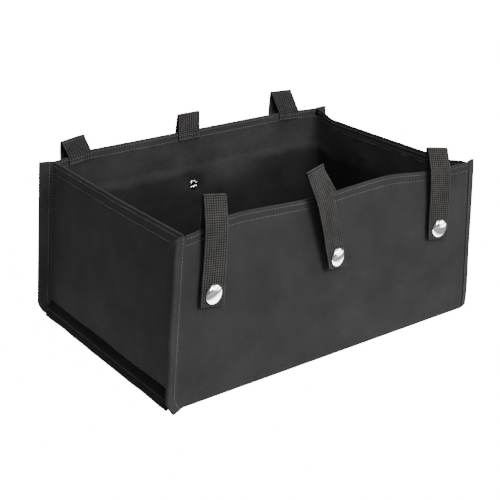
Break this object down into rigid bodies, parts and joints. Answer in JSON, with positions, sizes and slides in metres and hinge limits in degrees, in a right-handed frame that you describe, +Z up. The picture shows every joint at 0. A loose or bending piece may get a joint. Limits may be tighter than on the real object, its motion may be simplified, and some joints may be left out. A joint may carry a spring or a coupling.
{
  "type": "garden tool bag",
  "caption": "Open-topped rectangular cloth tool bag with stiffened walls, bound corner seams and webbing straps that loop over a rail and close with snap fasteners.",
  "frame": {"origin": "centre of the bounding box, on the ground under the middle of the base", "axes": "+X along the long walls, to the right seen from the front; +Y from the front wall to the back wall; +Z up"},
  "size_m": [0.3541, 0.2352, 0.1786],
  "materials": {
    "outer_cloth": "coated black Oxford cloth, matt",
    "lining": "black lining cloth, slight sheen",
    "binding_tape": "black folded binding tape, matt",
    "webbing": "ribbed black polypropylene webbing",
    "stiffening_board": "dark grey plastic sheet",
    "snap_metal": "polished nickel plate"
  },
  "bodies": {
    "bag": {"front_panel": "outer_cloth", "front_board": "stiffening_board", "front_lining": "lining", "back_panel": "outer_cloth", "back_board": "stiffening_board", "back_lining": "lining", "left_end_panel": "outer_cloth", "left_end_board": "stiffening_board", "left_end_lining": "lining", "right_end_panel": "outer_cloth", "right_end_board": "stiffening_board", "right_end_lining": "lining", "base_panel": "outer_cloth", "base_board": "stiffening_board", "base_lining": "lining", "front_left_binding": "binding_tape", "front_right_binding": "binding_tape", "back_left_binding": "binding_tape", "back_right_binding": "binding_tape", "left_foot_binding": "binding_tape", "right_foot_binding": "binding_tape", "strap_front_left_loop": "webbing", "snap_front_left_stud": "snap_metal", "snap_front_left_eyelet": "snap_metal", "strap_front_middle_loop": "webbing", "snap_front_middle_stud": "snap_metal", "snap_front_middle_eyelet": "snap_metal", "strap_front_right_loop": "webbing", "snap_front_right_stud": "snap_metal", "snap_front_right_eyelet": "snap_metal", "strap_back_left_loop": "webbing", "snap_back_left_stud": "snap_metal", "snap_back_left_eyelet": "snap_metal", "strap_back_middle_loop": "webbing", "snap_back_middle_stud": "snap_metal", "snap_back_middle_eyelet": "snap_metal", "strap_back_right_loop": "webbing", "snap_back_right_stud": "snap_metal", "snap_back_right_eyelet": "snap_metal"},
    "front_left_tail": {"strap_front_left_tail": "webbing", "snap_front_left_socket": "snap_metal", "snap_front_left_cap": "snap_metal"},
    "front_middle_tail": {"strap_front_middle_tail": "webbing", "snap_front_middle_socket": "snap_metal", "snap_front_middle_cap": "snap_metal"},
    "front_right_tail": {"strap_front_right_tail": "webbing", "snap_front_right_socket": "snap_metal", "snap_front_right_cap": "snap_metal"},
    "back_left_tail": {"strap_back_left_tail": "webbing", "snap_back_left_socket": "snap_metal", "snap_back_left_cap": "snap_metal"},
    "back_middle_tail": {"strap_back_middle_tail": "webbing", "snap_back_middle_socket": "snap_metal", "snap_back_middle_cap": "snap_metal"},
    "back_right_tail": {"strap_back_right_tail": "webbing", "snap_back_right_socket": "snap_metal", "snap_back_right_cap": "snap_metal"}
  },
  "joints": [
    {"name": "front_left_strap", "type": "hinge", "parent": "bag", "child": "front_left_tail", "pos_m": [-0.125, -0.11042, 0.17395], "axis": [-0.9766, -0.1809, -0.1165], "range_deg": [0, 170]},
    {"name": "front_middle_strap", "type": "hinge", "parent": "bag", "child": "front_middle_tail", "pos_m": [-0.023, -0.11068, 0.17536], "axis": [-0.9996, -0.0196, -0.0196], "range_deg": [0, 170]},
    {"name": "front_right_strap", "type": "hinge", "parent": "bag", "child": "front_right_tail", "pos_m": [0.1155, -0.11299, 0.16951], "axis": [-0.9994, 0.0323, 0.0128], "range_deg": [0, 170]},
    {"name": "back_left_strap", "type": "hinge", "parent": "bag", "child": "back_left_tail", "pos_m": [-0.132, 0.11675, 0.16469], "axis": [0.9914, 0.1046, 0.0785], "range_deg": [0, 170]},
    {"name": "back_middle_strap", "type": "hinge", "parent": "bag", "child": "back_middle_tail", "pos_m": [-0.004, 0.1185, 0.168], "axis": [1, 0, 0], "range_deg": [0, 170]},
    {"name": "back_right_strap", "type": "hinge", "parent": "bag", "child": "back_right_tail", "pos_m": [0.1105, 0.11869, 0.17309], "axis": [0.9979, -0.0579, -0.029], "range_deg": [0, 170]}
  ]
}
